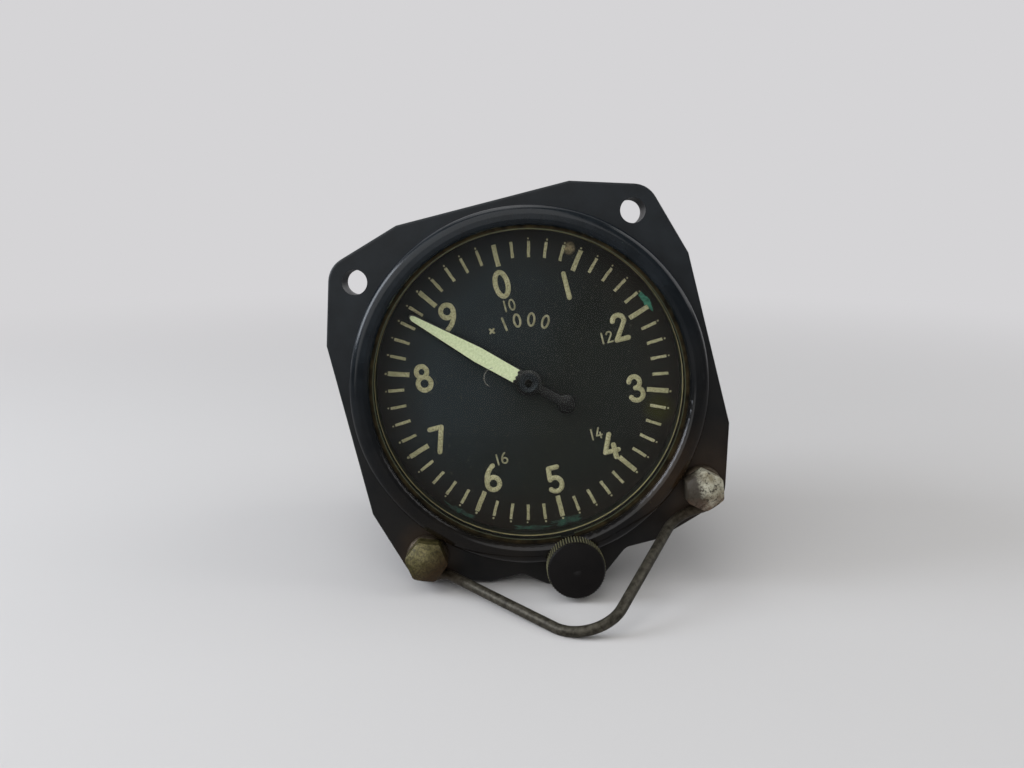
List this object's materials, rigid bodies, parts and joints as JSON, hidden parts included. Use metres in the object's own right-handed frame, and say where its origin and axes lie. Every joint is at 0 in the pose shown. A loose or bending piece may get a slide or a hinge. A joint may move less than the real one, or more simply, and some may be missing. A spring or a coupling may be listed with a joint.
{
  "type": "aircraft altimeter",
  "caption": "Square-flanged round altimeter with one luminous hand, a setting knob and a bent wire table stand; aneroid movement inside.",
  "frame": {"origin": "centre of the flange's front face, which lies against the panel", "axes": "+X to the right seen from the front, +Y backwards into the case, +Z to 12 o'clock on the dial"},
  "size_m": [0.0822, 0.098, 0.09],
  "materials": {
    "case": "moulded black phenolic, satin flange and glossier bezel",
    "glass": "clear flat glass",
    "rubber": "black rubber",
    "bronze_ring": "browned spring steel",
    "spacer": "matt black with a worn front edge",
    "dial": "matt black dial with raised cream numerals",
    "retainer": "machined brass",
    "brass": "machined brass",
    "steel": "machined steel",
    "jewel": "polished jewel",
    "capsule": "beryllium copper diaphragms",
    "wire": "dull galvanised wire",
    "zinc": "zinc-plated steel",
    "nut_left": "dull olive plating",
    "nut_right": "chalky corroded plating",
    "knob": "matt brown-black, worn knurls",
    "hand": "black hand with a cream luminous stripe"
  },
  "bodies": {
    "case": {"case_shell": "case", "cover_glass": "glass", "glass_gasket": "rubber", "snap_ring": "bronze_ring", "dial_spacer": "spacer", "dial": "dial", "turntable_retainer": "retainer", "knob_bushing": "brass", "shaft_packing": "rubber", "static_port_insert": "brass", "stand_wire": "wire", "stand_screws": "zinc", "acorn_nut_left": "nut_left", "acorn_nut_right": "nut_right"},
    "setting_knob": {"knob": "knob", "knob_shaft": "steel", "knob_pinion": "brass", "knob_set_screw": "steel"},
    "movement": {"turntable_gear": "brass", "front_pillars": "brass", "movement_plate": "brass", "rear_pillars": "brass", "plate_screws": "steel", "capsule_yoke": "brass", "aneroid_capsule": "capsule", "capsule_nut": "brass", "staff_front_bush": "brass", "staff_rear_jewel": "jewel", "rocking_brackets": "steel", "bracket_screws": "steel", "hairspring": "steel", "hairspring_stud": "brass"},
    "hand": {"pointer": "hand", "pointer_collet": "brass", "hand_staff": "steel", "staff_pinion": "steel", "hairspring_collet": "brass"},
    "sector": {"sector_gear": "brass", "sector_arbor": "steel"},
    "rocking": {"rocking_shaft": "steel", "calibration_arm": "steel", "drive_arm": "steel", "balance_weight": "brass"},
    "capsule_front": {"capsule_post": "brass", "drop_link": "steel", "link_pin": "steel"}
  },
  "joints": [
    {"name": "movement_turn", "type": "hinge", "parent": "case", "child": "movement", "pos_m": [0, 0.01095, 0], "axis": [0, 1, 0], "continuous": true},
    {"name": "knob_turn", "type": "hinge", "parent": "case", "child": "setting_knob", "pos_m": [0, -0.008, -0.04025], "axis": [0, 1, 0], "continuous": true},
    {"name": "sector_turn", "type": "hinge", "parent": "movement", "child": "sector", "pos_m": [-0.009, 0.01495, 0.01764], "axis": [0, 1, 0], "range_deg": [-26.23, 31.37]},
    {"name": "pointer_turn", "type": "hinge", "parent": "movement", "child": "hand", "pos_m": [0, 0.02395, 0], "axis": [0, 1, 0], "range_deg": [-313.7, 262.3], "deforming": ["hairspring"]},
    {"name": "rocking_turn", "type": "hinge", "parent": "movement", "child": "rocking", "pos_m": [-0.009, 0.03, 0.01], "axis": [0, 0, 1], "range_deg": [-9.35, 11.2]},
    {"name": "capsule_travel", "type": "slide", "parent": "movement", "child": "capsule_front", "axis": [0, -1, 0], "range_m": [-0.00176, 0.00148], "deforming": ["aneroid_capsule"]}
  ],
  "couplings": [
    {"joint": "movement_turn", "follows": "knob_turn", "ratio": -0.18382},
    {"joint": "pointer_turn", "follows": "sector_turn", "ratio": -10},
    {"joint": "rocking_turn", "follows": "sector_turn", "ratio": 0.355},
    {"joint": "capsule_travel", "follows": "sector_turn", "m_per_rad": -0.003195}
  ]
}
